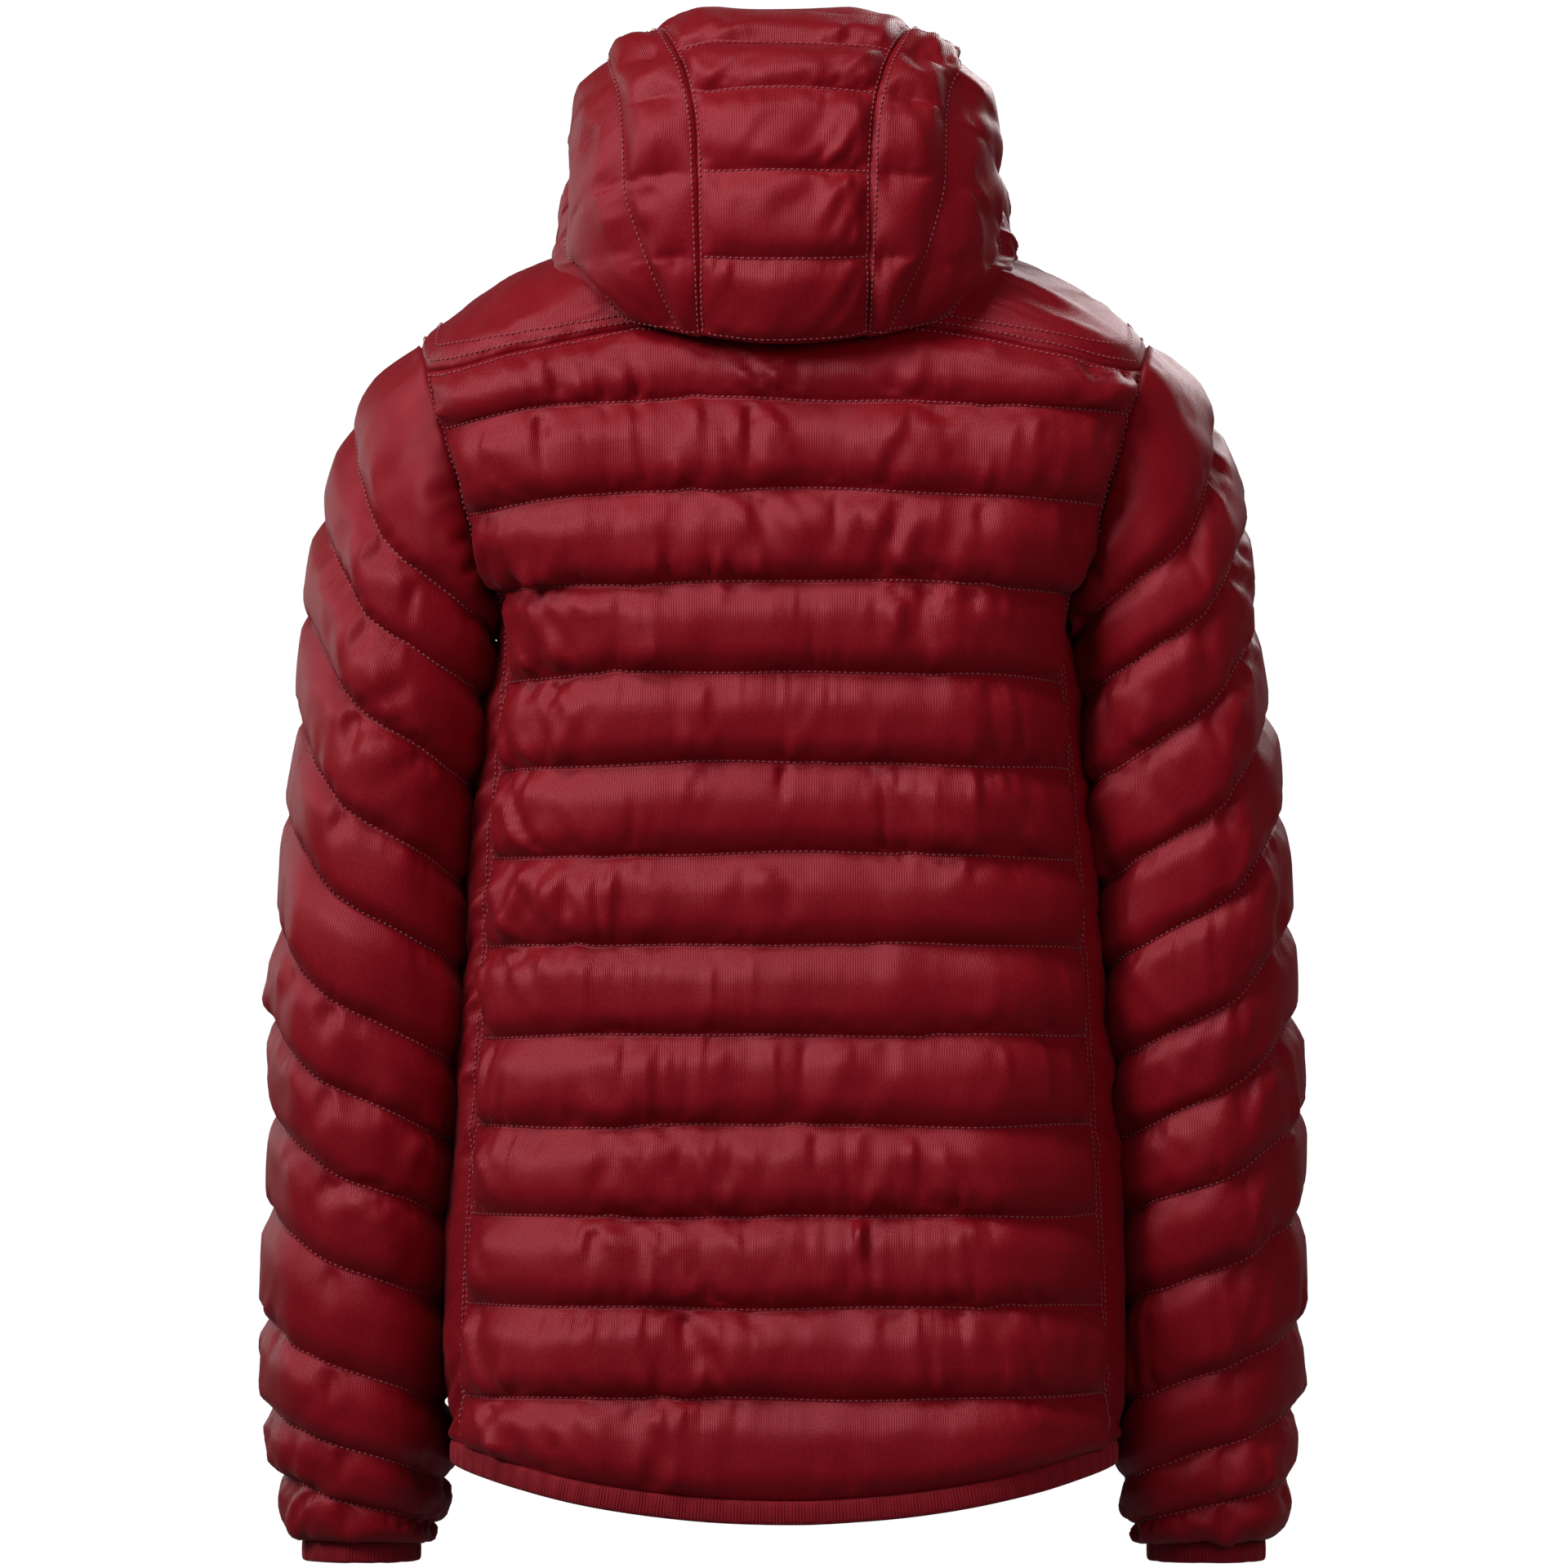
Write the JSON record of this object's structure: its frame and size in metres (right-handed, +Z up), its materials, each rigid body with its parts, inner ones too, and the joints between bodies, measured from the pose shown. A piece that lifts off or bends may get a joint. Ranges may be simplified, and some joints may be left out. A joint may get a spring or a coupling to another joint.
{
  "type": "ski jacket",
  "caption": "Hip-length quilted ski jacket with insulated hood, stand collar, full-length front zip, zipped hand pockets and elastic-bound cuffs and hem.",
  "frame": {"origin": "middle of the neckline, where the collar meets the body", "axes": "+Z up; -Y is the wearer's front; +X is the wearer's left"},
  "size_m": [0.586, 0.2569, 0.882],
  "materials": {
    "shell": "satin woven nylon, fine ribs",
    "insulation": "lofted polyester fibre",
    "lining": "smooth taffeta",
    "binding": "matte elastic tape",
    "zip_tape": "woven tape",
    "zip_teeth": "moulded teeth",
    "zip_metal": "satin paint",
    "loop": "cord loop"
  },
  "bodies": {
    "jacket": {"back_insulation": "insulation", "back_shell": "shell", "body_lining": "lining", "collar_insulation": "insulation", "collar_shell": "shell", "hanger_loop": "loop", "hem_binding": "binding", "left_front_insulation": "insulation", "left_front_shell": "shell", "left_pocket_bag": "lining", "left_pocket_zip_tape": "zip_tape", "left_pocket_zip_teeth": "zip_teeth", "left_side_panel": "shell", "left_yoke_insulation": "insulation", "left_yoke_shell": "shell", "main_zip_left_tape": "zip_tape", "main_zip_left_teeth": "zip_teeth", "main_zip_right_tape": "zip_tape", "main_zip_right_teeth": "zip_teeth", "main_zip_top_stops": "zip_metal", "right_front_insulation": "insulation", "right_front_shell": "shell", "right_pocket_bag": "lining", "right_pocket_zip_tape": "zip_tape", "right_pocket_zip_teeth": "zip_teeth", "right_side_panel": "shell", "right_yoke_insulation": "insulation", "right_yoke_shell": "shell", "storm_flap": "lining", "zip_garage": "shell", "zip_retainer_box": "zip_metal"},
    "main_zip_slider": {"main_zip_slider": "zip_metal"},
    "main_zip_pull": {"main_zip_pull": "zip_metal"},
    "hood": {"hood_binding": "binding", "hood_center_panel": "shell", "hood_insulation": "insulation", "hood_left_panel": "shell", "hood_lining": "lining", "hood_right_panel": "shell"},
    "left_upper_sleeve": {"left_upper_sleeve_shell": "shell", "left_upper_sleeve_insulation": "insulation", "left_upper_sleeve_lining": "lining", "left_elbow_section": "shell"},
    "left_forearm": {"left_forearm_shell": "shell", "left_forearm_insulation": "insulation", "left_forearm_lining": "lining", "left_cuff_binding": "binding"},
    "left_pocket_zip_slider": {"left_pocket_zip_slider": "zip_metal"},
    "left_pocket_zip_pull": {"left_pocket_zip_pull": "zip_metal"},
    "right_upper_sleeve": {"right_upper_sleeve_shell": "shell", "right_upper_sleeve_insulation": "insulation", "right_upper_sleeve_lining": "lining", "right_elbow_section": "shell"},
    "right_forearm": {"right_forearm_shell": "shell", "right_forearm_insulation": "insulation", "right_forearm_lining": "lining", "right_cuff_binding": "binding"},
    "right_pocket_zip_slider": {"right_pocket_zip_slider": "zip_metal"},
    "right_pocket_zip_pull": {"right_pocket_zip_pull": "zip_metal"}
  },
  "joints": [
    {"name": "main_zip_slide", "type": "slide", "parent": "jacket", "child": "main_zip_slider", "axis": [0, -0.0499, -0.9988], "range_m": [0, 0.681], "deforming": ["main_zip_left_teeth", "main_zip_right_teeth"]},
    {"name": "main_zip_pull_hinge", "type": "hinge", "parent": "main_zip_slider", "child": "main_zip_pull", "pos_m": [0, -0.0917, 0.04799], "axis": [-1, 0, 0], "range_deg": [0, 150]},
    {"name": "left_pocket_zip_slide", "type": "slide", "parent": "jacket", "child": "left_pocket_zip_slider", "axis": [0.2133, 0.0028, -0.977], "range_m": [0, 0.147], "deforming": ["left_pocket_zip_teeth"]},
    {"name": "left_pocket_zip_pull_hinge", "type": "hinge", "parent": "left_pocket_zip_slider", "child": "left_pocket_zip_pull", "pos_m": [0.09646, -0.11528, -0.40765], "axis": [-0.9466, -0.2467, -0.2074], "range_deg": [0, 150]},
    {"name": "left_shoulder", "type": "hinge", "parent": "jacket", "child": "left_upper_sleeve", "pos_m": [0.2084, 0, -0.039], "axis": [0, -1, 0], "range_deg": [0, 60]},
    {"name": "left_elbow", "type": "hinge", "parent": "left_upper_sleeve", "child": "left_forearm", "pos_m": [0.2327, 0.004, -0.386], "axis": [-1, 0, 0], "range_deg": [0, 90], "deforming": ["left_elbow_section"]},
    {"name": "right_pocket_zip_slide", "type": "slide", "parent": "jacket", "child": "right_pocket_zip_slider", "axis": [-0.2133, 0.0028, -0.977], "range_m": [0, 0.147], "deforming": ["right_pocket_zip_teeth"]},
    {"name": "right_pocket_zip_pull_hinge", "type": "hinge", "parent": "right_pocket_zip_slider", "child": "right_pocket_zip_pull", "pos_m": [-0.09646, -0.11528, -0.40765], "axis": [-0.9466, 0.2467, 0.2074], "range_deg": [0, 150]},
    {"name": "right_shoulder", "type": "hinge", "parent": "jacket", "child": "right_upper_sleeve", "pos_m": [-0.2084, 0, -0.039], "axis": [0, 1, 0], "range_deg": [0, 60]},
    {"name": "right_elbow", "type": "hinge", "parent": "right_upper_sleeve", "child": "right_forearm", "pos_m": [-0.2327, 0.004, -0.386], "axis": [-1, 0, 0], "range_deg": [0, 90], "deforming": ["right_elbow_section"]},
    {"name": "hood_lift", "type": "hinge", "parent": "jacket", "child": "hood", "pos_m": [0, -0.062, 0.01], "axis": [1, 0, 0], "range_deg": [0, 22]}
  ]
}
